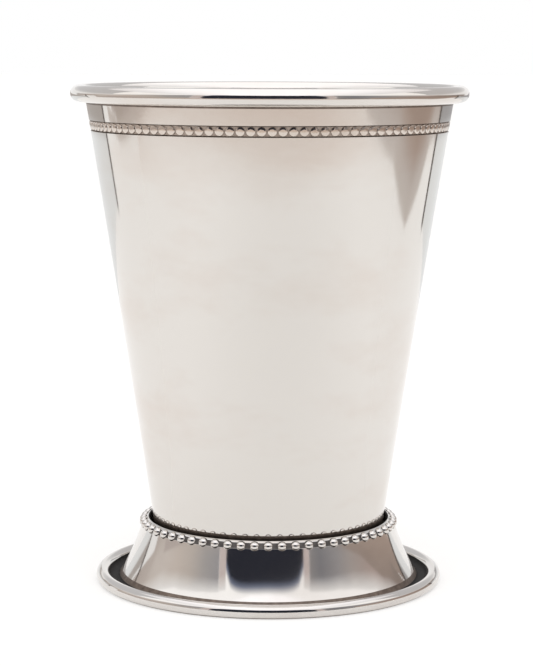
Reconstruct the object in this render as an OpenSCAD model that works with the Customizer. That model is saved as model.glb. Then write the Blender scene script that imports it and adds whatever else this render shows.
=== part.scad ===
// Footed julep cup of thin polished sheet metal.
// A tapered beaker with a rolled rim sits in the well of a spun foot, and a strip of
// small beads runs round each of them. Millimetres, +Z up, the origin on the table
// under the middle of the cup.

/* [Cup] */
// Height of the cup, from the table to the top of the rim
cup_h = 111.2; // [100:0.2:124]
// Outer diameter of the rolled rim
rim_d = 88; // [80:0.5:96]
// Outer diameter of the beaker where its wall meets its flat bottom
base_d = 51.2; // [46:0.2:56]
// Thickness of the beaker's sheet
wall_t = 0.6; // [0.5:0.05:0.75]
// How far the middle of the wall hangs in from a straight taper
wall_bow = 0.2; // [0:0.05:1]
// Outside radius of the corner between the wall and the bottom
heel_r = 2; // [1.2:0.1:3]
// Thickness of the rolled rim, from side to side
curl_d = 3.7; // [3:0.1:4.4]

/* [Bead border under the rim] */
// Distance from the top of the rim down to the middle of the border
band_drop = 8.85; // [7:0.05:14]
// Depth of the rolled groove that holds the border
band_depth = 0.4; // [0.3:0.05:0.5]
// Width of one flat bead
band_bead_d = 2; // [1.6:0.05:2.6]
// Gap between one flat bead and the next
band_bead_gap = 0.18; // [0.1:0.02:0.5]
// Thickness of the strip that carries the flat beads
band_strip_t = 0.12; // [0.08:0.02:0.16]

/* [Foot] */
// Outer diameter of the foot
foot_d = 77.8; // [72:0.2:84]
// Height of the foot, from the table to the lip of its well
foot_h = 14.4; // [13:0.1:18]
// Thickness of the foot's sheet
foot_t = 0.7; // [0.55:0.05:0.8]
// Thickness of the rolled edge that the foot stands on, from side to side
foot_curl_d = 3; // [2.6:0.1:3.6]
// Inside radius of the trough between the skirt and the rolled edge
trough_r = 1.25; // [0.9:0.05:1.6]
// Depth of the well that the beaker sits in
well_depth = 3; // [2.4:0.1:3.6]
// Gap between the beaker and the lip of the well
well_gap = 0.75; // [0.4:0.05:1.2]
// Width of the collar, from the mouth of the well out to the widest part of its shoulder
collar_w = 1.9; // [1.75:0.05:2.6]
// Radius of the collar's rounded shoulder
shoulder_r = 2.45; // [2.3:0.05:3]
// Radius of the slight hollow curve down the skirt
skirt_r = 50; // [40:5:100]
// Width of the ledge inside the foot that carries the beaker
ledge_w = 7; // [5.5:0.5:10]

/* [Bead border on the collar] */
// Diameter of one round bead
collar_bead_d = 2.2; // [1.6:0.05:2.4]
// Gap between one round bead and the next
collar_bead_gap = 0.73; // [0.4:0.01:1.4]
// How far the middle of a round bead lies below the face of the shoulder
collar_bead_sink = 0.28; // [0.1:0.02:0.4]
// Depth of the flat on the shoulder that the bead strip is soldered to
collar_flat_depth = 0.1; // [0.08:0.01:0.14]
// Thickness of the strip that carries the round beads
collar_strip_t = 0.14; // [0.1:0.02:0.2]

/* [Solder joint] */
// Thickness of the solder between the beaker and the ledge
solder_t = 0.2; // [0.1:0.05:0.4]
// Width of the ring of solder
solder_w = 4; // [2:0.5:5]

/* [Hidden] */

// Fineness of the big revolved faces, and of one bead
$fn = 120;
bead_fn = 24;
// Steps along the bowed wall, round a full curl and round a small bend
wall_steps = 14;
curl_steps = 22;
bend_steps = 6;
// Film of solder behind each strip and each flat bead, and the small height that the trough
// clears the table by
film_t = 0.03;
trough_lift = 0.05;
// How much of the rolled edge is worn flat where it stands
worn_flat = 0.05;
// Slope of the groove's two sides, and the room beside the strip in the groove
groove_side = 0.15;
strip_room = 0.05;
// Degrees of the shoulder between the top of the skirt and the flat for the bead strip
flat_room = 1;
// Height of a flat bead's upright side
band_bead_side = 0.08;
// Inside radius of the bend at the bottom of the well, and outside radius of its lip
well_bend_r = 0.8;
lip_r = 0.35;
// Where the two curls stop, in degrees past level on the far side
curl_stop = 130;
foot_curl_stop = 120;

function arc(c, r, from, to, steps) =
    [for (i = [0:steps]) c + r * [cos(from + (to - from) * i / steps), sin(from + (to - from) * i / steps)]];
function backward(points) = [for (i = [len(points) - 1:-1:0]) points[i]];

// Rolled edge of the foot, and the trough beside it
foot_curl_r = foot_curl_d / 2;
foot_curl_c = [foot_d / 2 - foot_curl_r, foot_curl_r - worn_flat];
trough_z = trough_lift + foot_t + trough_r;
trough_rise = trough_z - foot_curl_c.y;
trough_c = [foot_curl_c.x - sqrt(pow(foot_curl_r + trough_r, 2) - pow(trough_rise, 2)), trough_z];
trough_turn = atan2(foot_curl_c.y - trough_c.y, foot_curl_c.x - trough_c.x);

// Heights of the joint between the foot and the beaker
ledge_z = foot_h - well_depth;
bottom_z = ledge_z + solder_t;

// Rolled rim, and the wall that runs into it without a kink
curl_r = curl_d / 2;
curl_c = [rim_d / 2 - curl_r, cup_h - curl_r];
base_r = base_d / 2;
rim_lean = atan((curl_c.x - curl_r + wall_t - base_r + 4 * wall_bow) / (curl_c.y - bottom_z));
wall_top = curl_c + (curl_r - wall_t) * [-cos(rim_lean), sin(rim_lean)];
wall_h = wall_top.y - bottom_z;
function wall_share(z) = (z - bottom_z) / wall_h;
function wall_r(z) = base_r + (wall_top.x - base_r) * wall_share(z)
    - 4 * wall_bow * wall_share(z) * (1 - wall_share(z));
function wall_lean(z) = atan((wall_top.x - base_r - 4 * wall_bow * (1 - 2 * wall_share(z))) / wall_h);
function out_of_wall(z) = [cos(wall_lean(z)), -sin(wall_lean(z))];
function along_wall(z) = [sin(wall_lean(z)), cos(wall_lean(z))];
// A point at height z, pushed in from the outer face of the wall by depth
function in_wall(z, depth) = [wall_r(z), z] - depth * out_of_wall(z);

// Groove under the rim: height and depth at each of its four edges
band_z = cup_h - band_drop;
band_floor_h = band_bead_d + 2 * strip_room;
groove = [
    [band_z - band_floor_h / 2 - groove_side, 0],
    [band_z - band_floor_h / 2, band_depth],
    [band_z + band_floor_h / 2, band_depth],
    [band_z + band_floor_h / 2 + groove_side, 0]
];

// Corner between the wall and the bottom
heel_lean = wall_lean(bottom_z);
heel_c = [base_r + heel_r * tan(heel_lean) - heel_r / cos(heel_lean), bottom_z + heel_r];
heel_top_z = heel_c.y - heel_r * sin(heel_lean);

// Stations up the wall, as height and groove depth
lower_run = groove[0].x - heel_top_z;
upper_run = wall_top.y - groove[3].x;
stations = concat(
    [for (i = [1:wall_steps - 1]) [heel_top_z + lower_run * i / wall_steps, 0]],
    groove,
    [for (i = [1:2]) [groove[3].x + upper_run * i / 3, 0]]
);

// Collar and shoulder of the foot
well_r = wall_r(foot_h) + well_gap;
shoulder_x = well_r + collar_w - shoulder_r;
lip_reach = well_r + lip_r - shoulder_x;
lip_rise = sqrt(pow(shoulder_r - lip_r, 2) - pow(lip_reach, 2));
shoulder_c = [shoulder_x, foot_h - lip_r - lip_rise];
lip_c = [well_r + lip_r, foot_h - lip_r];
lip_turn = atan2(lip_rise, lip_reach);
fold_reach = well_r + foot_t - shoulder_x;
fold_turn = acos(fold_reach / (shoulder_r - foot_t));

// Skirt: a slight hollow curve that runs out of the shoulder and into the trough without a
// kink. The centres of the three curves make a triangle whose sides are known.
shoulder_side = skirt_r + shoulder_r;
trough_side = skirt_r - trough_r;
span = trough_c - shoulder_c;
side_rest = pow(shoulder_side, 2) + span * span - pow(trough_side, 2);
join_turn = atan2(span.y, span.x) + acos(side_rest / (2 * shoulder_side * norm(span)));
skirt_c = shoulder_c + shoulder_side * [cos(join_turn), sin(join_turn)];
skirt_turn = atan2(skirt_c.y - trough_c.y, skirt_c.x - trough_c.x);

// Flat on the shoulder for the bead strip, just above the skirt
flat_dist = shoulder_r - collar_flat_depth;
flat_half = acos(flat_dist / shoulder_r);
collar_tilt = join_turn + flat_room + flat_half;
collar_strip_half = flat_dist * tan(flat_half) - strip_room;

// Bead strips
band_bead_h = band_depth - 2 * film_t - band_strip_t;
band_seat = in_wall(band_z, band_bead_h);
band_face = in_wall(band_z, band_bead_h + film_t);
band_count = floor(2 * PI * band_seat.x / (band_bead_d + band_bead_gap));
collar_bead_dist = shoulder_r - collar_bead_sink;
collar_bead_x = shoulder_c.x + collar_bead_dist * cos(collar_tilt);
collar_bead_z = shoulder_c.y + collar_bead_dist * sin(collar_tilt);
collar_count = floor(2 * PI * collar_bead_x / (collar_bead_d + collar_bead_gap));

// Beaker: one drawn sheet, from the middle of the bottom up the wall and round the curl
module beaker() {
    inside = concat(
        [[0, bottom_z + wall_t]],
        arc(heel_c, heel_r - wall_t, -90, -heel_lean, bend_steps),
        [for (s = stations) in_wall(s.x, s.y + wall_t)],
        arc(curl_c, curl_r, 180 - rim_lean, -curl_stop, curl_steps)
    );
    outside = concat(
        [[0, bottom_z]],
        arc(heel_c, heel_r, -90, -heel_lean, bend_steps),
        [for (s = stations) in_wall(s.x, s.y)],
        arc(curl_c, curl_r - wall_t, 180 - rim_lean, -curl_stop, curl_steps)
    );
    color("#d8d0c6") rotate_extrude() polygon(concat(outside, backward(inside)));
}

// One flat bead, soldered on the strip, with its dome level with the wall
module flat_bead() {
    dome_h = band_bead_h - band_bead_side;
    dome_r = (pow(band_bead_d / 2, 2) + pow(dome_h, 2)) / (2 * dome_h);
    rotate_extrude($fn = bead_fn) intersection() {
        translate([0, band_bead_h - dome_r]) circle(dome_r, $fn = 4 * $fn);
        square([band_bead_d / 2, band_bead_h]);
    }
}

// Thin strip in the groove under the rim, with its row of flat beads
module rim_bead_strip() {
    half = band_bead_d / 2 * along_wall(band_z);
    back = band_face - band_strip_t * out_of_wall(band_z);
    color("#cfc6bc") {
        rotate_extrude() polygon([back - half, band_face - half, band_face + half, back + half]);
        for (i = [0:band_count - 1])
            rotate([0, 0, 360 * i / band_count]) translate([band_seat.x, 0, band_seat.y])
                rotate([0, 90 + wall_lean(band_z), 0]) flat_bead();
    }
}

// Foot: one spun sheet, from the ledge up the well, over the shoulder, down the skirt,
// through the trough and round the rolled edge
module foot() {
    upper = concat(
        [[well_r - ledge_w, ledge_z]],
        arc([well_r - well_bend_r, ledge_z + well_bend_r], well_bend_r, -90, 0, bend_steps),
        arc(lip_c, lip_r, 180, lip_turn, bend_steps),
        arc(shoulder_c, shoulder_r, collar_tilt + flat_half, collar_tilt - flat_half, 1),
        arc(skirt_c, skirt_r, 180 + join_turn, 180 + skirt_turn, bend_steps),
        arc(trough_c, trough_r, 180 + skirt_turn, 360 + trough_turn, 2 * bend_steps),
        arc(foot_curl_c, foot_curl_r, 180 + trough_turn, -foot_curl_stop, curl_steps)
    );
    under = concat(
        [[well_r - ledge_w, ledge_z - foot_t]],
        arc([well_r - well_bend_r, ledge_z + well_bend_r], well_bend_r + foot_t, -90, 0, bend_steps),
        arc(shoulder_c, shoulder_r - foot_t, fold_turn, join_turn, bend_steps),
        arc(skirt_c, skirt_r + foot_t, 180 + join_turn, 180 + skirt_turn, bend_steps),
        arc(trough_c, trough_r + foot_t, 180 + skirt_turn, 360 + trough_turn, 2 * bend_steps),
        arc(foot_curl_c, foot_curl_r - foot_t, 180 + trough_turn, -foot_curl_stop, curl_steps)
    );
    color("#c4c3c3") rotate_extrude() intersection() {
        polygon(concat(upper, backward(under)));
        square([foot_d, foot_h + lip_r]);
    }
}

// Thin strip on the flat of the shoulder, with its row of round beads
module collar_bead_strip() {
    seat = flat_dist + film_t;
    color("#bdbcbc") difference() {
        union() {
            rotate_extrude() translate(shoulder_c) rotate(collar_tilt)
                translate([seat, -collar_strip_half]) square([collar_strip_t, 2 * collar_strip_half]);
            for (i = [0:collar_count - 1])
                rotate([0, 0, 360 * i / collar_count])
                    translate([collar_bead_x, 0, collar_bead_z]) sphere(d = collar_bead_d, $fn = bead_fn);
        }
        rotate_extrude() translate(shoulder_c) rotate(collar_tilt)
            translate([0, -shoulder_r]) square([seat, 2 * shoulder_r]);
    }
}

// Ring of solder between the ledge and the bottom of the beaker
module solder_ring() {
    outer_r = heel_c.x;
    color("#8e8f92") translate([0, 0, ledge_z]) rotate_extrude()
        translate([outer_r - solder_w, 0]) square([solder_w, solder_t]);
}

beaker();
rim_bead_strip();
foot();
collar_bead_strip();
solder_ring();
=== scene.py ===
# %% [markdown]
# # A julep cup in polished nickel
# The cup is a tapered beaker with a rolled rim. It stands in a spun foot, and a row of beads
# runs round each of them. The metal has hardly any colour of its own, so most of the picture
# is what the metal reflects. That is why half of this lesson is about the studio.

import math
import random

import bmesh
import bpy
from mathutils import Matrix, Vector


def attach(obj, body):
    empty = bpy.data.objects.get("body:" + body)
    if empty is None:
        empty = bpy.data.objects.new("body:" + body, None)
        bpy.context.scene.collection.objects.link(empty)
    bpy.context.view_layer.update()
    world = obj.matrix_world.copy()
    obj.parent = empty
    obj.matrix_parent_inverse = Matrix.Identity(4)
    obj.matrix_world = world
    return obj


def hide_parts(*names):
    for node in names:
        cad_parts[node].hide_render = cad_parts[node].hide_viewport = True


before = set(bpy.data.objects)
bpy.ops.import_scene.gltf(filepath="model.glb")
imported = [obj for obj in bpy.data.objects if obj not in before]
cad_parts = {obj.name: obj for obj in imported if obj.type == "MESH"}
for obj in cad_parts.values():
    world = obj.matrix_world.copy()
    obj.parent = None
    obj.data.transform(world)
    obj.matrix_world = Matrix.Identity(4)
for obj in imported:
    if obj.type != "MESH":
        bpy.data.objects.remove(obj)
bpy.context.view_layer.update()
print("CAD nodes:", ", ".join(sorted(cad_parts)))

# %% [markdown]
# ## Sizes
# Every length is in millimetres, as a silversmith's drawing would have it, and becomes metres
# in one place. The few driving sizes come first, and the rest follows from them.

# %% Driving sizes
MM = 0.001
CUP_H = 111.2
RIM_D = 88.0
BASE_D = 51.2
WALL_T = 0.6
WALL_BOW = 0.2
CURL_R = 1.85

BAND_DROP = 8.85
BAND_DEPTH = 0.4
BAND_BEAD_D = 2.0
STRIP_ROOM = 0.05

FOOT_H = 14.4
WELL_DEPTH = 3.0
SOLDER_T = 0.2
print(CUP_H, "mm tall,", RIM_D, "mm across the rim")

# %% [markdown]
# ## The line of the wall
# The wall is a straight taper that hangs in a little in the middle, as a spun wall does where it
# was pulled off the wooden form. A point on it is a height and a depth under its outer face. The
# line could be a curve drawn by hand, but the groove and the beads have to know how far the wall
# leans at their height.

# %% Wall line
ledge_z = FOOT_H - WELL_DEPTH
bottom_z = ledge_z + SOLDER_T
curl_c = Vector((RIM_D / 2 - CURL_R, CUP_H - CURL_R))
base_r = BASE_D / 2
rim_lean = math.atan((curl_c.x - CURL_R + WALL_T - base_r + 4 * WALL_BOW) / (curl_c.y - bottom_z))
wall_top = curl_c + (CURL_R - WALL_T) * Vector((-math.cos(rim_lean), math.sin(rim_lean)))
wall_h = wall_top.y - bottom_z


def wall_r(z):
    share = (z - bottom_z) / wall_h
    return base_r + (wall_top.x - base_r) * share - 4 * WALL_BOW * share * (1 - share)


def wall_lean(z):
    share = (z - bottom_z) / wall_h
    return math.atan((wall_top.x - base_r - 4 * WALL_BOW * (1 - 2 * share)) / wall_h)


def in_wall(z, depth):
    lean = wall_lean(z)
    return Vector((wall_r(z) - depth * math.cos(lean), z + depth * math.sin(lean)))


def arc(centre, radius, start, stop, steps):
    turns = [start + (stop - start) * i / steps for i in range(steps + 1)]
    return [centre + radius * Vector((math.cos(a), math.sin(a))) for a in turns]


band_z = CUP_H - BAND_DROP
band_half = BAND_BEAD_D / 2 + STRIP_ROOM
print("wall leans", round(math.degrees(wall_lean(band_z)), 2), "degrees at the beads")

# %% [markdown]
# ## Turning a line into sheet metal
# A spun cup is a turned shape, so one outline turned round the axis gives the whole sheet. A
# Screw modifier would turn it too, but the faces have to be there before some of them can get
# another finish. Spin with merging closes the full turn, and the doubled points on the axis are
# merged after it. Normals are made to point outwards last, because merging can leave them mixed.

# %% Spin helper
CREASE = math.radians(35)
TOUCHING = 1e-4
TURN_STEPS = 240


def new_piece(name, bm, materials, nodes=()):
    """Edges that bend more than CREASE stay sharp, and all others are shaded round."""
    bmesh.ops.remove_doubles(bm, verts=bm.verts, dist=TOUCHING * MM)
    bmesh.ops.recalc_face_normals(bm, faces=bm.faces)
    for edge in bm.edges:
        edge.smooth = edge.calc_face_angle(0) < CREASE
    mesh = bpy.data.meshes.new(name)
    bm.to_mesh(mesh)
    bm.free()
    for material in materials:
        mesh.materials.append(material)
    mesh.polygons.foreach_set("use_smooth", [True] * len(mesh.polygons))
    piece = bpy.data.objects.new(name, mesh)
    bpy.context.scene.collection.objects.link(piece)
    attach(piece, "root")
    if nodes:
        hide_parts(*nodes)
    print(name, "has", len(mesh.polygons), "faces")
    return piece


def spun(outline):
    """An outline that starts on the axis ends on it too. Any other one is closed to a ring."""
    bm = bmesh.new()
    verts = [bm.verts.new((p.x * MM, 0, p.y * MM)) for p in outline]
    ring = verts + [verts[0]] if outline[0].x > 0 else verts
    edges = [bm.edges.new(pair) for pair in zip(ring, ring[1:])]
    bmesh.ops.spin(
        bm,
        geom=verts + edges,
        axis=(0, 0, 1),
        cent=(0, 0, 0),
        angle=math.tau,
        steps=TURN_STEPS,
        use_merge=True,
    )
    return bm


# %% [markdown]
# ## Materials
# The cup is nickel plated, a pale metal with a slightly warm tint. Every finish is made of
# nodes, so it needs no image and can be looked at from any distance. One small function adds a
# node, and one turns a colour as seen on a screen into the linear light that shaders reckon
# with. A pattern is given by how many millimetres one spot or line of it takes on the metal.

# %% Colour and node helpers


def linear(hex_colour):
    parts = [int(hex_colour[i : i + 2], 16) / 255 for i in (1, 3, 5)]
    light = [c / 12.92 if c <= 0.04045 else ((c + 0.055) / 1.055) ** 2.4 for c in parts]
    return (*light, 1.0)


def per(size):
    """How often a pattern of this size in mm repeats on a metre."""
    return 1 / (size * MM)


def material(name):
    made = bpy.data.materials.new(name)
    made.use_nodes = True
    made.node_tree.nodes.clear()
    return made


def node(tree, kind, inputs=None, **settings):
    made = tree.nodes.new(kind)
    for key, value in settings.items():
        setattr(made, key, value)
    for key, value in (inputs or {}).items():
        socket = made.inputs[key]
        if isinstance(value, bpy.types.NodeSocket):
            tree.links.new(value, socket)
        else:
            socket.default_value = value
    return made


print("a middle grey of #808080 is", round(linear("#808080")[0], 3), "in linear light")

# %% [markdown]
# ### Polishing lines
# A spun cup is polished on a lathe, so what is left of the polishing are faint level lines.
# Noise that is squeezed along the height and hardly changes round the cup gives such lines.
# They tilt the surface a little, which draws each reflection out up and down. The lines could be
# a brushed finish with an anisotropic shader, but the mop has left them too faint for that.

# %% Polishing lines
# The real lines are some hundredths of a millimetre wide. They are drawn coarser, so that they
# show at all from half a metre away.
LINE_LENGTH = 80
LINE_PITCH = 0.25


def polishing_lines(tree, place, line_height):
    squeezed = node(
        tree,
        "ShaderNodeMapping",
        {"Vector": place, "Scale": (per(LINE_LENGTH), per(LINE_LENGTH), per(LINE_PITCH))},
    )
    lines = node(
        tree,
        "ShaderNodeTexNoise",
        {"Vector": squeezed.outputs["Vector"], "Scale": 1.0, "Detail": 3.0},
    )
    tilt = node(
        tree,
        "ShaderNodeBump",
        {"Height": lines.outputs["Fac"], "Distance": line_height * MM, "Strength": 1.0},
    )
    return tilt.outputs["Normal"]


print("polishing lines are drawn", LINE_PITCH, "mm wide")

# %% [markdown]
# ### Smears and haze
# Hands and a cloth leave the plate warmer and duller in patches. A wide noise mixes in a warmer
# tint where it is high, and another one moves the roughness a little to both sides. A painted
# map could place every single smear, but it would be an image that has to travel with the cup.

# %% Smears and haze
SMEAR_LENGTH = 45
SMEAR_WIDTH = 20
HAZE_SIZE = 16


def smeared_colour(tree, place, colour, stain):
    wiped = node(
        tree,
        "ShaderNodeMapping",
        {"Vector": place, "Scale": (per(SMEAR_LENGTH), per(SMEAR_LENGTH), per(SMEAR_WIDTH))},
    )
    smears = node(
        tree,
        "ShaderNodeTexNoise",
        {"Vector": wiped.outputs["Vector"], "Scale": 1.0, "Detail": 5.0, "Roughness": 0.6},
    )
    # Noise keeps close to 0.5, so nearly half of the metal gets no stain at all.
    stained = node(
        tree,
        "ShaderNodeMapRange",
        {"Value": smears.outputs["Fac"], "From Min": 0.48, "From Max": 0.8},
    )
    tone = node(
        tree,
        "ShaderNodeMix",
        {"Factor": stained.outputs["Result"], "A": linear(colour), "B": linear(stain)},
        data_type="RGBA",
    )
    return tone.outputs["Result"]


def hazy_roughness(tree, place, roughness, haze):
    clouds = node(
        tree, "ShaderNodeTexNoise", {"Vector": place, "Scale": per(HAZE_SIZE), "Detail": 4.0}
    )
    # Almost all of the noise lies between 0.3 and 0.7.
    rough = node(
        tree,
        "ShaderNodeMapRange",
        {
            "Value": clouds.outputs["Fac"],
            "From Min": 0.3,
            "From Max": 0.7,
            "To Min": roughness - haze,
            "To Max": roughness + haze,
        },
    )
    return rough.outputs["Result"]


print("smears are", SMEAR_LENGTH, "by", SMEAR_WIDTH, "mm and patches of haze", HAZE_SIZE, "mm")

# %% [markdown]
# ### Four finishes of one metal
# How sharp a reflection is tells how the metal was worked last, so the finishes differ most in
# their roughness. They could be one material with a mask, but a sheet's faces can carry several
# materials, and each keeps a name that says what was done there.

# %% Nickel finishes


def polished_nickel(name, colour, stain, roughness, line_height, haze):
    """Lines are as high as line_height in mm, and roughness strays by haze to both sides."""
    made = material(name)
    tree = made.node_tree
    place = node(tree, "ShaderNodeTexCoord").outputs["Object"]
    metal = node(
        tree,
        "ShaderNodeBsdfPrincipled",
        {
            "Base Color": smeared_colour(tree, place, colour, stain),
            "Metallic": 1.0,
            "Roughness": hazy_roughness(tree, place, roughness, haze),
            "Normal": polishing_lines(tree, place, line_height),
        },
    )
    node(tree, "ShaderNodeOutputMaterial", {"Surface": metal.outputs["BSDF"]})
    return made


# A soft mop leaves lines that blur the mirror up and down, warmer where tarnish has come back.
warm_nickel = polished_nickel(
    "Warm nickel, polished with a soft mop",
    "#DDD9D4",
    "#D6CCC4",
    roughness=0.075,
    line_height=1e-4,
    haze=0.02,
)
# A pad leaves a satin inside that shows light and shade, but no picture of the room.
satin_nickel = polished_nickel(
    "Nickel, left satin by the scouring pad",
    "#D9D2CB",
    "#CFC5BC",
    roughness=0.36,
    line_height=1e-4,
    haze=0.05,
)
# The foot and its beads were buffed across the lines, so that only a trace of them is left, and
# their metal looks cooler.
mirror_nickel = polished_nickel(
    "Nickel, mirror polished",
    "#DEDAD6",
    "#CFC8C3",
    roughness=0.08,
    line_height=3e-5,
    haze=0.02,
)
# The mop only brushes the flat beads, so each shows a soft, warm piece of the room.
bead_nickel = polished_nickel(
    "Nickel, beads polished with the wall",
    "#D9CFC6",
    "#C4B6AA",
    roughness=0.12,
    line_height=3e-5,
    haze=0.02,
)
print(len(bpy.data.materials), "materials so far")

# %% [markdown]
# ### Tarnish and painted shade in the recesses
# In the groove and under the rim the metal is painted brown to black: partly tarnish that the
# polishing mop never reaches, and partly painted shade. Between the beads it is painted shade. It
# is what makes each bead stand out. Fine noise between a dark and a lighter brown keeps it from
# looking like paint. The tight trough of the foot and the well are painted black as painted shade,
# which is hardly metal at all.
#
# A shader could find such places by itself with ambient occlusion, but on a cup each of them is
# known, and a painted finish looks the same in every light.

# %% Tarnish and painted shade
SPOT_SIZE = 1.1


def darkened_nickel(name, dark, light, metallic=1.0, roughness=0.4):
    made = material(name)
    tree = made.node_tree
    place = node(tree, "ShaderNodeTexCoord")
    spots = node(
        tree,
        "ShaderNodeTexNoise",
        {"Vector": place.outputs["Object"], "Scale": per(SPOT_SIZE), "Detail": 5.0},
    )
    tone = node(
        tree,
        "ShaderNodeMix",
        {"Factor": spots.outputs["Fac"], "A": linear(dark), "B": linear(light)},
        data_type="RGBA",
    )
    metal = node(
        tree,
        "ShaderNodeBsdfPrincipled",
        {"Base Color": tone.outputs["Result"], "Metallic": metallic, "Roughness": roughness},
    )
    node(tree, "ShaderNodeOutputMaterial", {"Surface": metal.outputs["BSDF"]})
    return made


print("spots of tarnish are", SPOT_SIZE, "mm wide")

# %% Tarnish and painted shade finishes
# Brown and half dull: tarnish with painted shade in the fine dark lines along the groove and under
# the rim, painted shadow low on the wall by the well, painted shade on the skirt above the trough
# and a painted contact shadow along the foot's standing edge.
tarnish = darkened_nickel("Nickel, tarnish and painted shade, brown", "#4A403B", "#9A8B80")
# Painted shade, black and dull, so that the trough and the well look deep.
black_painted_shade = darkened_nickel(
    "Black painted shade of the trough and well", "#0B0A09", "#2A2522", metallic=0.3, roughness=0.7
)
# Painted shade between the flat beads, only a little brown, because they leave small gaps.
strip_painted_shade = darkened_nickel("Nickel, dull, painted shade behind the flat beads", "#7E726A", "#C9BCB1")
# Painted shade between the round beads, dark grey, against which they stand out.
collar_painted_shade = darkened_nickel("Nickel, painted shade round the collar beads", "#2E2B2A", "#6B6663")
print("tarnish for the groove, the trough and both strips")

# %% [markdown]
# ### Solder
# Soft solder is dull grey and a little lumpy. The joint is hidden between beaker and foot, but
# it is there when the two are pulled apart. The ring is plain enough to stay the shape that it
# was drawn with, so it only gets a finish.

# %% Solder
LUMP_SIZE = 1.4
LUMP_HEIGHT = 0.05


def dull_solder(name):
    made = material(name)
    tree = made.node_tree
    place = node(tree, "ShaderNodeTexCoord")
    lumps = node(
        tree,
        "ShaderNodeTexNoise",
        {"Vector": place.outputs["Object"], "Scale": per(LUMP_SIZE), "Detail": 3.0},
    )
    tilt = node(
        tree,
        "ShaderNodeBump",
        {"Height": lumps.outputs["Fac"], "Distance": LUMP_HEIGHT * MM},
    )
    metal = node(
        tree,
        "ShaderNodeBsdfPrincipled",
        {
            "Base Color": linear("#8E8F92"),
            "Metallic": 1.0,
            "Roughness": 0.45,
            "Normal": tilt.outputs["Normal"],
        },
    )
    node(tree, "ShaderNodeOutputMaterial", {"Surface": metal.outputs["BSDF"]})
    return made


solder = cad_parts["solder_ring"]
solder.data.materials.clear()
solder.data.materials.append(dull_solder("Soft solder, dull grey"))
print("solder ring has", len(solder.data.polygons), "faces")

# %% [markdown]
# ## The beaker
# A disc of sheet is pushed over a turned form while it spins, and its edge is rolled over for the
# rim. So the beaker is one outline, spun: from the middle of the bottom up the outside, over the
# rim to the end of the roll, and back down the inside. The groove for the beads is pressed
# through the sheet, so both faces follow it. A tapered cylinder with a Solidify modifier would
# give the wall, but the roll and the groove would have to be joined to it afterwards.

# %% Heel, groove and crease
HEEL_R = 2.0
GROOVE_SIDE = 0.15
# Under the rim the wall is painted dark down to this far below the roll, as tarnish with painted
# shade.
CREASE_LINE = 0.45
# Above the foot's lip the wall is painted dark up to this height, as painted shadow of the gap.
GAP_SHADE_RISE = 0.85
heel_lean = wall_lean(bottom_z)
heel_c = Vector(
    (base_r + HEEL_R * math.tan(heel_lean) - HEEL_R / math.cos(heel_lean), bottom_z + HEEL_R)
)
heel_top_z = heel_c.y - HEEL_R * math.sin(heel_lean)
crease_z = CUP_H - 2 * CURL_R - CREASE_LINE
gap_shade_z = FOOT_H + GAP_SHADE_RISE
groove = [
    (band_z - band_half - GROOVE_SIDE, 0),
    (band_z - band_half, BAND_DEPTH),
    (band_z + band_half, BAND_DEPTH),
    (band_z + band_half + GROOVE_SIDE, 0),
]
print("the groove runs from", round(groove[0][0], 2), "to", round(groove[-1][0], 2), "mm up")

# %% Beaker sheet
CURL_STOP = 130
CURL_STEPS = 40
BEND_STEPS = 10
WALL_STEPS = 36
GAP_SHADE_STEPS = 2
CREASE_STEPS = 3
BAND_STEPS = 5


def levels(low, high, steps):
    return [low + (high - low) * i / steps for i in range(1, steps + 1)]


def wall_face(depth):
    heights = levels(heel_top_z, gap_shade_z, GAP_SHADE_STEPS)
    heights += levels(gap_shade_z, groove[0][0], WALL_STEPS)[:-1]
    below = [(z, 0) for z in heights]
    heights = levels(groove[-1][0], crease_z, BAND_STEPS)
    heights += levels(crease_z, wall_top.y, CREASE_STEPS)[:-1]
    above = [(z, 0) for z in heights]
    return [in_wall(z, deep + depth) for z, deep in below + groove + above]


def beaker_face(depth, bottom):
    rim_r = CURL_R - WALL_T + depth
    return [
        Vector((0, bottom)),
        *arc(heel_c, HEEL_R - depth, -math.pi / 2, -heel_lean, BEND_STEPS),
        *wall_face(depth),
        *arc(curl_c, rim_r, math.pi - rim_lean, -math.radians(CURL_STOP), CURL_STEPS),
    ]


outside = beaker_face(0, bottom_z)
inside = beaker_face(WALL_T, bottom_z + WALL_T)
beaker = new_piece(
    "beaker_sheet",
    spun(outside + inside[::-1]),
    [warm_nickel, tarnish, satin_nickel],
    ["beaker"],
)

# %% [markdown]
# ### Tarnish, painted shade and the satin inside
# The groove and the crease right under the rim are painted dark as tarnish with painted shade,
# and the wall down by the well is painted dark as the shadow of the gap. The inside is only
# rubbed with a pad and stays satin. Faces are picked by where they are, as a radius and a height,
# and get another of the sheet's finishes. A painted mask would need an image, and these borders
# are all level rings.

# %% Finishes of the beaker
PICK_ROOM = 0.1
# This slot holds tarnish with painted shade on the beaker, and black painted shade on the foot.
PAINTED_SHADE_SLOT = 1
SATIN = 2


def finish_where(piece, number, test):
    picked = 0
    for face in piece.data.polygons:
        centre = face.center / MM
        if test(math.hypot(centre.x, centre.y), centre.z):
            face.material_index = number
            picked += 1
    print(piece.name, "has", picked, "faces of", piece.data.materials[number].name)


# Tarnish with painted shade in the groove and the crease under the rim, and painted shadow on the
# wall down by the well.
finish_where(
    beaker,
    PAINTED_SHADE_SLOT,
    lambda r, z: bottom_z < z < wall_top.y
    and abs(r - wall_r(z)) < BAND_DEPTH + PICK_ROOM
    and (abs(z - band_z) < band_half + GROOVE_SIDE or z > crease_z or z < gap_shade_z),
)
finish_where(
    beaker,
    SATIN,
    lambda r, z: bottom_z + WALL_T / 2 < z < wall_top.y
    and r < wall_r(z) - BAND_DEPTH - PICK_ROOM,
)

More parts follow.
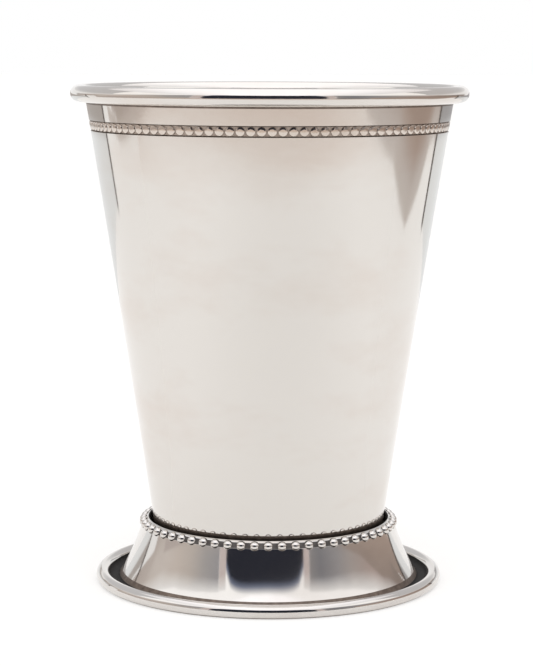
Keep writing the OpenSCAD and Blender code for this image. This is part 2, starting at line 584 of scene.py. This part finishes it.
# %% [markdown]
# ## Beads under the rim
# A strip of sheet carries a row of flat beads, soldered on, and lies in the groove. One bead is
# a low dome, and the ring is that bead put down again at each place. The count is what fits
# round the groove. No two beads lie quite alike on a real strip, so each one is tilted by a
# degree or so, and that makes each show another bit of the room. The tilts come from a seeded
# draw, so they are the same each time. An array would repeat one bead without them.

# %% Ring of beads
BAND_BEAD_GAP = 0.18
STRIP_T = 0.12
FILM_T = 0.03
BEAD_TILT = math.radians(1.2)
BEAD_STEPS = 18


def ring_of(bead, places):
    bm = bmesh.new()
    for place in places:
        first = len(bm.verts)
        bm.from_mesh(bead)
        bm.verts.ensure_lookup_table()
        bmesh.ops.transform(bm, matrix=place, verts=bm.verts[first:])
    return bm


band_lean = wall_lean(band_z)
bead_h = BAND_DEPTH - 2 * FILM_T - STRIP_T
bead_seat = in_wall(band_z, bead_h)
band_count = int(math.tau * bead_seat.x / (BAND_BEAD_D + BAND_BEAD_GAP))
print("a flat bead is", round(bead_h, 2), "mm high")

# %% One flat bead
# Across and up, as shares of the bead's radius and height.
dome_shares = [(0, 1), (0.5, 0.93), (0.78, 0.78), (0.93, 0.5), (1, 0)]
bead_r = BAND_BEAD_D / 2
flat_bead = bmesh.new()
row = [flat_bead.verts.new((x * bead_r * MM, 0, z * bead_h * MM)) for x, z in dome_shares]
row_edges = [flat_bead.edges.new(pair) for pair in zip(row, row[1:])]
bmesh.ops.spin(
    flat_bead,
    geom=row + row_edges,
    axis=(0, 0, 1),
    cent=(0, 0, 0),
    angle=math.tau,
    steps=BEAD_STEPS,
    use_merge=True,
)
bmesh.ops.remove_doubles(flat_bead, verts=flat_bead.verts, dist=TOUCHING * MM)
flat_bead_mesh = bpy.data.meshes.new("flat_bead")
flat_bead.to_mesh(flat_bead_mesh)
flat_bead.free()
print("one flat bead has", len(flat_bead_mesh.polygons), "faces")

# %% The row of flat beads
SEED = 7
chance = random.Random(SEED)
places = []
for i in range(band_count):
    lie = Matrix.Rotation(chance.uniform(-BEAD_TILT, BEAD_TILT), 4, "X")
    lie = lie @ Matrix.Rotation(chance.uniform(-BEAD_TILT, BEAD_TILT), 4, "Y")
    places.append(
        Matrix.Rotation(math.tau * i / band_count, 4, "Z")
        @ Matrix.Translation((bead_seat.x * MM, 0, bead_seat.y * MM))
        @ Matrix.Rotation(math.pi / 2 + band_lean, 4, "Y")
        @ lie
    )
new_piece("rim_beads", ring_of(flat_bead_mesh, places), [bead_nickel])

# %% Strip behind the flat beads
strip_face = in_wall(band_z, bead_h + FILM_T)
along = Vector((math.sin(band_lean), math.cos(band_lean))) * bead_r
back = strip_face - STRIP_T * Vector((math.cos(band_lean), -math.sin(band_lean)))
strip = [back - along, strip_face - along, strip_face + along, back + along]
new_piece(
    "rim_bead_strip_sheet",
    spun(strip),
    [strip_painted_shade],
    ["rim_bead_strip"],
)
print(band_count, "flat beads")

# %% [markdown]
# ## The foot
# The foot is one spun sheet too: a ledge under the beaker, the wall of the well, a lip and a
# round shoulder, the flared and slightly hollow skirt, a tight trough, and the rolled edge that
# stands on the table. Each bend is an arc that touches the next one, so the middle of the
# skirt's arc is found from the shoulder and the trough. Turned parts could be stacked for the
# same shape, but then each joint would show as a line.

# %% Rolled edge and trough
FOOT_D = 77.8
FOOT_T = 0.7
FOOT_CURL_R = 1.5
WORN_FLAT = 0.05
TROUGH_R = 1.25
TROUGH_LIFT = 0.05
foot_curl_c = Vector((FOOT_D / 2 - FOOT_CURL_R, FOOT_CURL_R - WORN_FLAT))
trough_z = TROUGH_LIFT + FOOT_T + TROUGH_R
trough_rise = trough_z - foot_curl_c.y
trough_c = Vector(
    (foot_curl_c.x - math.sqrt((FOOT_CURL_R + TROUGH_R) ** 2 - trough_rise**2), trough_z)
)
trough_turn = math.atan2(foot_curl_c.y - trough_c.y, foot_curl_c.x - trough_c.x)
print("the trough is", round(2 * trough_c.x, 1), "mm across")

# %% Lip and shoulder
WELL_GAP = 0.75
LIP_R = 0.35
COLLAR_W = 1.9
SHOULDER_R = 2.45
well_r = wall_r(FOOT_H) + WELL_GAP
shoulder_x = well_r + COLLAR_W - SHOULDER_R
lip_reach = well_r + LIP_R - shoulder_x
lip_rise = math.sqrt((SHOULDER_R - LIP_R) ** 2 - lip_reach**2)
shoulder_c = Vector((shoulder_x, FOOT_H - LIP_R - lip_rise))
lip_c = Vector((well_r + LIP_R, FOOT_H - LIP_R))
lip_turn = math.atan2(lip_rise, lip_reach)
print("the well is", round(2 * well_r, 1), "mm across")

# %% Skirt
SKIRT_R = 50.0
fold_turn = math.acos((well_r + FOOT_T - shoulder_x) / (SHOULDER_R - FOOT_T))
shoulder_side = SKIRT_R + SHOULDER_R
trough_side = SKIRT_R - TROUGH_R
span = trough_c - shoulder_c
far_side = shoulder_side**2 + span.length_squared - trough_side**2
span_cos = far_side / (2 * shoulder_side * span.length)
join_turn = math.atan2(span.y, span.x) + math.acos(span_cos)
skirt_c = shoulder_c + shoulder_side * Vector((math.cos(join_turn), math.sin(join_turn)))
skirt_turn = math.atan2(skirt_c.y - trough_c.y, skirt_c.x - trough_c.x)
lean_range = [round(math.degrees(turn), 1) for turn in (join_turn, skirt_turn)]
print("the skirt leans by", lean_range[0], "to", lean_range[1], "degrees")

# %% Flat for the collar's strip
COLLAR_FLAT_DEPTH = 0.1
FLAT_ROOM = math.radians(1)
flat_dist = SHOULDER_R - COLLAR_FLAT_DEPTH
flat_half = math.acos(flat_dist / SHOULDER_R)
collar_tilt = join_turn + FLAT_ROOM + flat_half
print("the flat faces", round(math.degrees(collar_tilt), 1), "degrees above level")

# %% Foot sheet
WELL_BEND_R = 0.8
LEDGE_W = 7.0
FOOT_CURL_STOP = 120
SHOULDER_STEPS = 4
SHOULDER_END_STEPS = 2
well_bend_c = Vector((well_r - WELL_BEND_R, ledge_z + WELL_BEND_R))
pi = math.pi
curl_stop = -math.radians(FOOT_CURL_STOP)
upper = [
    Vector((well_r - LEDGE_W, ledge_z)),
    *arc(well_bend_c, WELL_BEND_R, -pi / 2, 0, BEND_STEPS),
    *arc(lip_c, LIP_R, pi, lip_turn, BEND_STEPS),
    *arc(shoulder_c, SHOULDER_R, lip_turn, collar_tilt + flat_half, SHOULDER_STEPS)[1:],
    *arc(shoulder_c, SHOULDER_R, collar_tilt - flat_half, join_turn, SHOULDER_END_STEPS),
    *arc(skirt_c, SKIRT_R, pi + join_turn, pi + skirt_turn, 2 * BEND_STEPS)[1:],
    *arc(trough_c, TROUGH_R, pi + skirt_turn, math.tau + trough_turn, 2 * BEND_STEPS)[1:],
    *arc(foot_curl_c, FOOT_CURL_R, pi + trough_turn, curl_stop, CURL_STEPS)[1:],
]
under = [
    Vector((well_r - LEDGE_W, ledge_z - FOOT_T)),
    *arc(well_bend_c, WELL_BEND_R + FOOT_T, -pi / 2, 0, BEND_STEPS),
    *arc(shoulder_c, SHOULDER_R - FOOT_T, fold_turn, join_turn, BEND_STEPS),
    *arc(skirt_c, SKIRT_R + FOOT_T, pi + join_turn, pi + skirt_turn, 2 * BEND_STEPS)[1:],
    *arc(trough_c, TROUGH_R + FOOT_T, pi + skirt_turn, math.tau + trough_turn, 2 * BEND_STEPS)[1:],
    *arc(foot_curl_c, FOOT_CURL_R - FOOT_T, pi + trough_turn, curl_stop, CURL_STEPS)[1:],
]
standing = [Vector((p.x, max(p.y, 0))) for p in upper]
foot = new_piece(
    "foot_sheet",
    spun(standing + under[::-1]),
    [mirror_nickel, black_painted_shade, tarnish],
    ["foot"],
)

# %% [markdown]
# ### Painted shade on the foot
# The trough is painted black as painted shade, and so is the well. Above the trough the skirt is
# painted brown up to a line, as painted shade beside the rolled edge. The lowest part of that edge
# is painted brown too, as a painted contact shadow where it stands on the table. Thin rings laid
# over the sheet would show the same, but they would add matter that isn't there, so these are
# finishes of its faces.

# %% Finishes of the foot
# Slot of brown painted shade on the skirt above the trough, and of a painted contact shadow.
BROWN_PAINTED_SHADE = 2
SKIRT_SHADE_RISE = 0.22
CONTACT_SHADE_H = 0.32
SKIRT_FOOT_SHARE = 0.9
skirt_foot_r = trough_c.x - SKIRT_FOOT_SHARE * TROUGH_R


# Black painted shade in the trough and in the well.
def trough_and_well_shade(r, z):
    in_trough = math.hypot(r - trough_c.x, z - trough_c.y) < TROUGH_R + PICK_ROOM
    return (in_trough and z < trough_z and r > skirt_foot_r) or (r < lip_c.x and z > ledge_z)


# Brown painted shade on the skirt above the trough, and a painted contact shadow on the lowest
# part of the rolled edge.
def skirt_and_edge_shade(r, z):
    on_skirt = skirt_foot_r - TROUGH_R < r < skirt_foot_r
    above_trough = trough_z - TROUGH_R < z < trough_z + SKIRT_SHADE_RISE
    return (on_skirt and above_trough) or (r > foot_curl_c.x and z < CONTACT_SHADE_H)


finish_where(foot, PAINTED_SHADE_SLOT, trough_and_well_shade)
finish_where(foot, BROWN_PAINTED_SHADE, skirt_and_edge_shade)

# %% [markdown]
# ## Beads on the collar
# Round beads stand on the shoulder of the foot. They come as a thin flat strip that carries them,
# which is bent round and soldered into a narrow flat on the shoulder. Whole balls could be sunk
# into the strip, but more than half of each would be buried. So each bead is the top of a ball,
# cut off level with the strip's underside. The strip is dull and painted dark grey as painted
# shade between the beads, and its tone is what separates them.

# %% Where the round beads stand
COLLAR_BEAD_D = 2.2
COLLAR_BEAD_GAP = 0.73
COLLAR_BEAD_SINK = 0.28
bead_dist = SHOULDER_R - COLLAR_BEAD_SINK
tilt_line = Vector((math.cos(collar_tilt), math.sin(collar_tilt)))
cross_line = Vector((-tilt_line.y, tilt_line.x))
bead_c = shoulder_c + bead_dist * tilt_line
collar_count = int(math.tau * bead_c.x / (COLLAR_BEAD_D + COLLAR_BEAD_GAP))
print(collar_count, "round beads")

# %% One round bead
BALL_STEPS = 24
BALL_ROWS = 14
ball = bmesh.new()
bmesh.ops.create_uvsphere(
    ball, u_segments=BALL_STEPS, v_segments=BALL_ROWS, radius=COLLAR_BEAD_D / 2 * MM
)
seat_dist = flat_dist + FILM_T
bmesh.ops.bisect_plane(
    ball,
    geom=ball.verts[:] + ball.edges[:] + ball.faces[:],
    plane_co=(0, 0, (seat_dist - bead_dist) * MM),
    plane_no=(0, 0, 1),
    clear_inner=True,
)
ball_mesh = bpy.data.meshes.new("round_bead")
ball.to_mesh(ball_mesh)
ball.free()
print("one round bead has", len(ball_mesh.polygons), "faces")

# %% The row of round beads and its strip
COLLAR_STRIP_T = 0.14
ball_places = [
    Matrix.Rotation(math.tau * i / collar_count, 4, "Z")
    @ Matrix.Translation((bead_c.x * MM, 0, bead_c.y * MM))
    @ Matrix.Rotation(math.pi / 2 - collar_tilt, 4, "Y")
    for i in range(collar_count)
]
new_piece("collar_beads", ring_of(ball_mesh, ball_places), [mirror_nickel])

strip_half = flat_dist * math.tan(flat_half) - STRIP_ROOM
collar_strip = [
    shoulder_c + (seat_dist + out * COLLAR_STRIP_T) * tilt_line + side * strip_half * cross_line
    for out, side in ((0, -1), (1, -1), (1, 1), (0, 1))
]
new_piece(
    "collar_strip",
    spun(collar_strip),
    [collar_painted_shade],
    ["collar_bead_strip"],
)

# %% [markdown]
# ## The studio
# Polished metal shows the room round it, so the room has to be built as well. The cup stands on
# white acrylic that is lit from below, which keeps its shadow pale. All else is cards that glow
# in plain tones. They stand out of the camera's sight and put no light on the table, so that
# each can be moved until its reflection is right. Lamps that light plain cards would do it too,
# but then every lamp moves every tone.

# %% Studio helpers


def glow(name, colour):
    made = material(name)
    tree = made.node_tree
    light = node(tree, "ShaderNodeEmission", {"Color": linear(colour)})
    node(tree, "ShaderNodeOutputMaterial", {"Surface": light.outputs["Emission"]})
    return made


def stage_mesh(name, bm, finish, light_only=False):
    mesh = bpy.data.meshes.new(name)
    bm.to_mesh(mesh)
    bm.free()
    mesh.materials.append(finish)
    thing = bpy.data.objects.new(name, mesh)
    bpy.context.scene.collection.objects.link(thing)
    if light_only:
        thing.visible_camera = False
        thing.visible_diffuse = False
        thing.visible_shadow = False
    print(name, "stands ready with", len(mesh.polygons), "faces")
    return thing


# %% Table
TABLE_HALF = 8000
TABLE_LIGHT = 1.1
LIT_SHARE = 0.5


def lit_table(name):
    """White acrylic with light under it, so shadows on it stay pale."""
    made = material(name)
    tree = made.node_tree
    acrylic = node(
        tree, "ShaderNodeBsdfDiffuse", {"Color": linear("#FAF9F7"), "Roughness": 0.5}
    )
    light = node(
        tree, "ShaderNodeEmission", {"Color": linear("#FFFEFD"), "Strength": TABLE_LIGHT}
    )
    both = node(
        tree,
        "ShaderNodeMixShader",
        {0: LIT_SHARE, 1: acrylic.outputs["BSDF"], 2: light.outputs["Emission"]},
    )
    node(tree, "ShaderNodeOutputMaterial", {"Surface": both.outputs["Shader"]})
    return made


table_bm = bmesh.new()
bmesh.ops.create_grid(table_bm, x_segments=1, y_segments=1, size=TABLE_HALF * MM)
stage_mesh("table", table_bm, lit_table("White acrylic, lit from below"))

# %% [markdown]
# ### Cards round the table
# Each card stands on the table along a bent line, and is pulled up from it by extruding its
# edges. Its base is given as turns round the cup, 0 at the camera and 90 on the picture's right,
# with a distance from the cup's axis. Where a card's base shows in the wall tells how far from
# the cup it stands. A flat plane turned into place would be quicker, but a bent base can be
# fitted to the slant of its reflection.

# %% Standing cards


def spot(turn, distance, height):
    a = math.radians(turn)
    return Vector((math.sin(a) * distance, -math.cos(a) * distance, height)) * MM


def standing_card(name, base, high, finish):
    bm = bmesh.new()
    feet = [bm.verts.new(spot(turn, distance, 0)) for turn, distance in base]
    edges = [bm.edges.new(pair) for pair in zip(feet, feet[1:])]
    grown = bmesh.ops.extrude_edge_only(bm, edges=edges)["geom"]
    heads = [part for part in grown if isinstance(part, bmesh.types.BMVert)]
    bmesh.ops.translate(bm, verts=heads, vec=(0, 0, high * MM))
    stage_mesh(name, bm, finish, light_only=True)


# %% [markdown]
# ### Painted cards
# The big cards are dark at the table and fade to white at the top, so that they end softly in
# the skirt of the foot. Their tones are kept at the corners of the card as a colour attribute,
# and the render blends between them. A ramp node could do the same for one card, but every
# column of these fades at its own height.

# %% Painted card helper


def painted(name, strength=1.0):
    made = material(name)
    tree = made.node_tree
    tone = node(tree, "ShaderNodeAttribute")
    tone.attribute_name = "Tone"
    light = node(
        tree,
        "ShaderNodeEmission",
        {"Color": tone.outputs["Color"], "Strength": strength},
    )
    node(tree, "ShaderNodeOutputMaterial", {"Surface": light.outputs["Emission"]})
    return made


paint = painted("Painted card")


def painted_card(name, columns, finish=paint):
    """A column is a turn, a distance, and heights up the card, each with its colour."""
    bm = bmesh.new()
    chains = []
    for turn, distance, marks in columns:
        points = [bm.verts.new(spot(turn, distance, z)) for z, colour in marks]
        chains.append([bm.edges.new(pair) for pair in zip(points, points[1:])])
    for one, other in zip(chains, chains[1:]):
        bmesh.ops.bridge_loops(bm, edges=one + other)
    card = stage_mesh(name, bm, finish, light_only=True)
    tones = card.data.color_attributes.new("Tone", "FLOAT_COLOR", "POINT")
    colours = [linear(colour) for turn, distance, marks in columns for z, colour in marks]
    for point, colour in zip(tones.data, colours):
        point.color = colour


# %% [markdown]
# ### The dark room
# Behind the camera the studio is dark, and the skirt shows it as the round navy patch in its
# middle. The card goes through blue-grey to white at its top, and its top is lower at both sides,
# because the patch has round corners. A plain black card would give a patch with hard corners. A
# pale strip on either side of it is the gap between the room and the side walls.

# %% Room behind the camera
ROOM_LEFT = -37
ROOM_RIGHT = 31
ROOM_DISTANCE = 560
ROOM_COLUMNS = 16
ROOM_LOW_TOP = 225
ROOM_LIFT = 150
ROOM_CORNER = 4
ROOM_BLUE_H = 39
ROOM_FADE_H = 81
STRIP_DISTANCE = 540
STRIP_LEFT_W = 6
STRIP_RIGHT_W = 5
NAVY = "#2A2C36"
BLUE_GREY = "#737C94"
PALE_GAP = "#D8CCC9"
WHITE = "#FFFFFF"
room = []
for i in range(ROOM_COLUMNS + 1):
    share = i / ROOM_COLUMNS
    turn = ROOM_LEFT + (ROOM_RIGHT - ROOM_LEFT) * share
    top = ROOM_LOW_TOP + ROOM_LIFT * math.sqrt(1 - abs(2 * share - 1) ** ROOM_CORNER)
    marks = [(0, NAVY), (top, NAVY), (top + ROOM_BLUE_H, BLUE_GREY), (top + ROOM_FADE_H, WHITE)]
    room.append((turn, ROOM_DISTANCE, marks))
painted_card("room", room)
strip_marks = [(0, PALE_GAP), (300, PALE_GAP), (390, WHITE)]
for name, start, stop in (
    ("strip_left", ROOM_LEFT - STRIP_LEFT_W, ROOM_LEFT),
    ("strip_right", ROOM_RIGHT, ROOM_RIGHT + STRIP_RIGHT_W),
):
    painted_card(name, [(turn, STRIP_DISTANCE, strip_marks) for turn in (start, stop)])

# %% [markdown]
# ### The sides of the room
# The grey walls on both sides show on the skirt as warm greys that get paler outwards, and on the
# shoulder as a soft edge. Towards the back they hang above the table, and the metal shows white
# below them. They could be plain cards in a row, but each joint would be a line on the skirt, so
# each side is one painted card.

# %% Sides
# Columns: turn, underside, where it starts to fade, where it ends, colour.
SIDE_DISTANCE = 480
LEFT_SIDE = [
    (-43, 0, 280, 350, "#A6A5A8"),
    (-56, 0, 255, 325, "#B2AFAE"),
    (-70, 0, 225, 290, "#CBC3BC"),
    (-83, 0, 185, 245, "#D6CCC4"),
    (-97, 0, 155, 215, "#DCD4CE"),
    (-108, 0, 150, 205, "#D8D0CA"),
    (-114, 80, 140, 185, "#CCC3BD"),
    (-126, 85, 122, 160, "#C1B7B1"),
    (-138, 85, 110, 145, "#A89E98"),
    (-141, 90, 105, 140, WHITE),
]
RIGHT_SIDE = [
    (36, 0, 285, 355, "#9A9899"),
    (46, 0, 270, 340, "#8B8B90"),
    (62, 0, 235, 300, "#A3A1A3"),
    (76, 0, 200, 265, "#B4ACA8"),
    (96, 0, 155, 215, "#BAA9A2"),
    (108, 0, 140, 195, "#A99A93"),
    (115, 75, 128, 175, "#A0938C"),
    (124, 85, 118, 158, "#9A8E87"),
    (143, 80, 105, 140, "#A49993"),
    (146, 90, 105, 140, WHITE),
]
# A side that stands on the table is dimmer at its foot, up to this share of its height.
DIM_SHARE = 0.7
for name, side, foot_tone in (
    ("side_left", LEFT_SIDE, "#BFB5AE"),
    ("side_right", RIGHT_SIDE, "#8F8B89"),
):
    columns = []
    for turn, low, fade, top, colour in side:
        dim = colour if low else foot_tone
        dim_top = low + DIM_SHARE * (fade - low)
        marks = [(low, dim), (dim_top, colour), (fade, colour), (top, WHITE)]
        columns.append((turn, SIDE_DISTANCE, marks))
    painted_card(name, columns)

# %% [markdown]
# ### Low boxes and poles
# Near the cup stand low grey boxes, which the wall shows as the darker wedges under the rim. The
# left one has a paler foot in front of it, and the right one is paler at the table. A thin dark
# pole behind each of them draws the fine line beside the wall's edge. The wall leans outwards and
# only shows what lies below the rim, so none of them has to be taller. Darker paint on the metal
# would look the same from here, but it would turn with the cup.

# %% Boxes and poles
low_grey = glow("Low grey box on the table", "#C5BBB6")
pale_foot = glow("Pale foot of the left box", "#D3CAC4")
dark_grey = glow("Dark edge of a card", "#5E5651")
FOOT_CARD_H = 9
BOX_H = 105
POLE_H = 110
POLE_DISTANCE = 430
POLE_LEFT = -125.4
POLE_LEFT_W = 1.8
POLE_RIGHT = 132.5
POLE_RIGHT_W = 2.5
foot_left = [(-68, 450), (-75, 422), (-88, 425), (-103, 455), (-109, 480), (-119, 585)]
box_left = [(-72, 450), (-80, 428), (-86, 440), (-100, 472), (-110, 535), (-114, 575)]
box_right = [(56, 479), (60, 373), (67, 367), (85, 365), (96, 338)]
box_right += [(105, 333), (116, 427), (123, 560), (128, 620), (134, 650)]
standing_card("foot_left", foot_left, FOOT_CARD_H, pale_foot)
standing_card("box_left", box_left, BOX_H, low_grey)
for name, start, stop in (
    ("pole_left", POLE_LEFT, POLE_LEFT + POLE_LEFT_W),
    ("pole_right", POLE_RIGHT - POLE_RIGHT_W, POLE_RIGHT),
):
    base = [(turn, POLE_DISTANCE) for turn in (start, stop)]
    standing_card(name, base, POLE_H, dark_grey)

box_marks = [(0, "#D4CCC7"), (12, "#D2CAC5"), (18, "#C8BEB8"), (24, "#C0B1A8"), (33, "#B3A196")]
box_marks += [(BOX_H, "#A5978F")]
painted_card("box_right", [(turn, distance, box_marks) for turn, distance in box_right])

# %% [markdown]
# ### Backdrop and walls
# The outermost edge of the cup's wall looks backwards, and shows the backdrop: pale at the table
# and grey above a line that rises towards the back. The walls far out fill all that is left over,
# a little greyer at the back. The white of the world could do that, but it has one strength, and
# the cup needs a brighter front.

# %% Backdrop
BACK_DISTANCE = 445
BACK_END = 165
BACK_STEP = 5
BACK_PALE = "#F3F5F6"
LINE_TURN = 125
LINE_LOW = 24
LINE_RISE = 1.3
LINE_BLUR = 9
DARK_H = 40


def backdrop(name, start, stop, dark):
    columns = []
    for turn in [start, *levels(start, stop, int((stop - start) / BACK_STEP))]:
        line = LINE_LOW + LINE_RISE * (abs(turn) - LINE_TURN)
        marks = [(0, BACK_PALE), (line, BACK_PALE)]
        marks += [(line + LINE_BLUR, dark), (line + DARK_H, dark)]
        columns.append((turn, BACK_DISTANCE, marks))
    painted_card(name, columns)


backdrop("back_left", -BACK_END, POLE_LEFT, "#BBB5B1")
backdrop("back_right", POLE_RIGHT, BACK_END, "#B0AFB0")

# %% Walls far out
WALL_DISTANCE = 900
WALL_H = 1000
WALL_TURN = 100
WALL_STEP = 10
BACK_GREY = "#D6D6D8"


def wall(name, start, stop, marks, finish):
    turns = range(start, stop + 1, WALL_STEP)
    painted_card(name, [(turn, WALL_DISTANCE, marks) for turn in turns], finish)


back_marks = [(260, "#EDEDED"), (360, BACK_GREY), (WALL_H, BACK_GREY)]
front_marks = [(0, WHITE), (WALL_H, WHITE)]
wall("walls_back", WALL_TURN, 360 - WALL_TURN, back_marks, paint)
wall("walls_front", -WALL_TURN, WALL_TURN, front_marks, painted("Lit wall", strength=1.25))

# %% [markdown]
# ### Shade on the table
# Towards the camera the lit table falls off into a warm shade, and the camera takes away a little
# of the light close to the cup. The upper part of the wall leans out far enough to show both, as
# a tint that fades downwards. The table itself could be darker there, but then the picture would
# show it too. So each shade is a thin see-through sheet that lies on the table and is seen by the
# metal alone. The warm one comes in with the distance from the cup, and the camera's is strongest
# round a spot in front of it.

# %% Shade material


def fading_shade(name, colour, centre, squeeze, start, stop, most):
    """Shade that comes in from start to stop, as distances from a centre on the table."""
    made = material(name)
    tree = made.node_tree
    place = node(tree, "ShaderNodeTexCoord")
    squeezed = node(
        tree,
        "ShaderNodeMapping",
        {
            "Vector": place.outputs["Object"],
            "Scale": (*squeeze, 0.0),
            "Location": (-centre[0] * squeeze[0] * MM, -centre[1] * squeeze[1] * MM, 0.0),
        },
    )
    away = node(
        tree, "ShaderNodeVectorMath", {0: squeezed.outputs["Vector"]}, operation="LENGTH"
    )
    share = node(
        tree,
        "ShaderNodeMapRange",
        {
            "Value": away.outputs["Value"],
            "From Min": start * MM,
            "From Max": stop * MM,
            "To Max": most,
        },
        interpolation_type="SMOOTHSTEP",
    )
    clear = node(tree, "ShaderNodeBsdfTransparent")
    tint = node(tree, "ShaderNodeEmission", {"Color": linear(colour)})
    both = node(
        tree,
        "ShaderNodeMixShader",
        {0: share.outputs["Result"], 1: clear.outputs["BSDF"], 2: tint.outputs["Emission"]},
    )
    node(tree, "ShaderNodeOutputMaterial", {"Surface": both.outputs["Shader"]})
    return made


# %% Two shades
SHADE_HALF = 440
SHADE_REACH = 530


def shade_card(name, z, finish):
    bm = bmesh.new()
    outline = [(-SHADE_HALF, 0), (SHADE_HALF, 0), (SHADE_HALF, -SHADE_REACH)]
    outline += [(-SHADE_HALF, -SHADE_REACH)]
    corners = [(x, y, z) for x, y in outline]
    bm.faces.new([bm.verts.new(Vector(c) * MM) for c in corners])
    stage_mesh(name, bm, finish, light_only=True)


brown_shade = fading_shade(
    "Shade on the table's near edge",
    "#C9AB95",
    centre=(0, 0),
    squeeze=(0.7, 1.0),
    start=232,
    stop=345,
    most=0.58,
)
grey_shade = fading_shade(
    "Shade of the camera",
    "#A8A39C",
    centre=(35, -190),
    squeeze=(0.65, 0.75),
    start=160,
    stop=15,
    most=0.13,
)
shade_card("front_shade", 1, brown_shade)
shade_card("camera_shade", 0.5, grey_shade)

# %% [markdown]
# ### Soft light from above
# A large soft box hangs over the cup, low in front and higher at the back. It gives the bright
# lines along the rim and the foot's rolled edge. An area lamp would do, but a glowing card can
# have any outline and can fade. This one is strongest along its middle, as a box with one row of
# lamps is, and its front is rounded, because a corner of it would show in the skirt.

# %% Light of the soft box
# The middle fifth of the lit width is evenly bright.
EVEN_SHARE = 0.2


def fading_box(name, colour, middle, side, reach):
    """Light that is strongest along the middle of the box and falls off towards its two sides."""
    made = material(name)
    tree = made.node_tree
    place = node(tree, "ShaderNodeTexCoord")
    split = node(tree, "ShaderNodeSeparateXYZ", {"Vector": place.outputs["Object"]})
    out_from_middle = node(tree, "ShaderNodeMath", {0: split.outputs["X"]}, operation="ABSOLUTE")
    strength = node(
        tree,
        "ShaderNodeMapRange",
        {
            "Value": out_from_middle.outputs["Value"],
            "From Min": EVEN_SHARE * reach * MM,
            "From Max": reach * MM,
            "To Min": middle,
            "To Max": side,
        },
        interpolation_type="SMOOTHSTEP",
    )
    light = node(
        tree,
        "ShaderNodeEmission",
        {"Color": linear(colour), "Strength": strength.outputs["Result"]},
    )
    node(tree, "ShaderNodeOutputMaterial", {"Surface": light.outputs["Emission"]})
    return made


# %% Soft box
BOX_HALF = 340
BOX_EDGE = 300
BOX_FRONT = 330
BOX_BACK = 380
BOX_LOW = 262
BOX_HIGH = 460
FRONT_TURN = 75
FRONT_STEP = 15
box_bm = bmesh.new()
turns = [math.radians(turn) for turn in range(-FRONT_TURN, FRONT_TURN + 1, FRONT_STEP)]
outline = [(BOX_FRONT * math.sin(a), -BOX_FRONT * math.cos(a)) for a in turns]
outline += [(BOX_HALF, BOX_BACK), (-BOX_HALF, BOX_BACK)]
rise = (BOX_HIGH - BOX_LOW) / (BOX_FRONT + BOX_BACK)
corners = [(x, y, BOX_LOW + (y + BOX_FRONT) * rise) for x, y in outline]
box_bm.faces.new([box_bm.verts.new(Vector(c) * MM) for c in corners])
lamp = fading_box("Soft box", "#FCFCFF", middle=1.5, side=1.1, reach=BOX_EDGE)
soft_box = stage_mesh("soft_box", box_bm, lamp)
soft_box.visible_camera = False
soft_box.visible_shadow = False
print("the soft box is", 2 * BOX_HALF, "by", BOX_FRONT + BOX_BACK, "mm")

# %% [markdown]
# ### White all round
# Whatever the cards leave open is plain white at a strength of 1, which renders just as white.
# It is also what the camera sees above the table. A sky texture would light the cup too, but it
# would bring its own colours into the metal.

# %% World
world = bpy.data.worlds.new("White studio")
world.use_nodes = True
world.node_tree.nodes.clear()
sky = node(world.node_tree, "ShaderNodeBackground", {"Color": (1, 1, 1, 1), "Strength": 1.0})
node(world.node_tree, "ShaderNodeOutputWorld", {"Surface": sky.outputs["Background"]})
bpy.context.scene.world = world
print("the world round the cup is the", world.name)

# %% [markdown]
# ## The camera
# The ellipses of the rim and the foot give the camera: half a metre away, a centimetre above the
# rim, looking down by seven degrees through a long lens. A constraint could aim it at the cup,
# but it would keep it level, and a camera held by hand never is. So its turn is given, and it is
# rolled by a fifth of a degree.

# %% Camera
CAMERA_PLACE = Vector((0, -495.45, 120.45))
LOOKING_DOWN = math.radians(7.4257)
ROLL = math.radians(0.19)
SENSOR_W = 36
LENS = 120.46
SHIFT = -0.0037
camera_data = bpy.data.cameras.new("camera")
camera_data.sensor_width = SENSOR_W
camera_data.lens = LENS
camera_data.shift_x = SHIFT
camera = bpy.data.objects.new("camera", camera_data)
bpy.context.scene.collection.objects.link(camera)
camera.matrix_world = (
    Matrix.Translation(CAMERA_PLACE * MM)
    @ Matrix.Rotation(math.pi / 2 - LOOKING_DOWN, 4, "X")
    @ Matrix.Rotation(ROLL, 4, "Z")
)
bpy.context.scene.camera = camera
bpy.context.scene.view_settings.view_transform = "Standard"
print("the camera is", round(CAMERA_PLACE.length), "mm away")
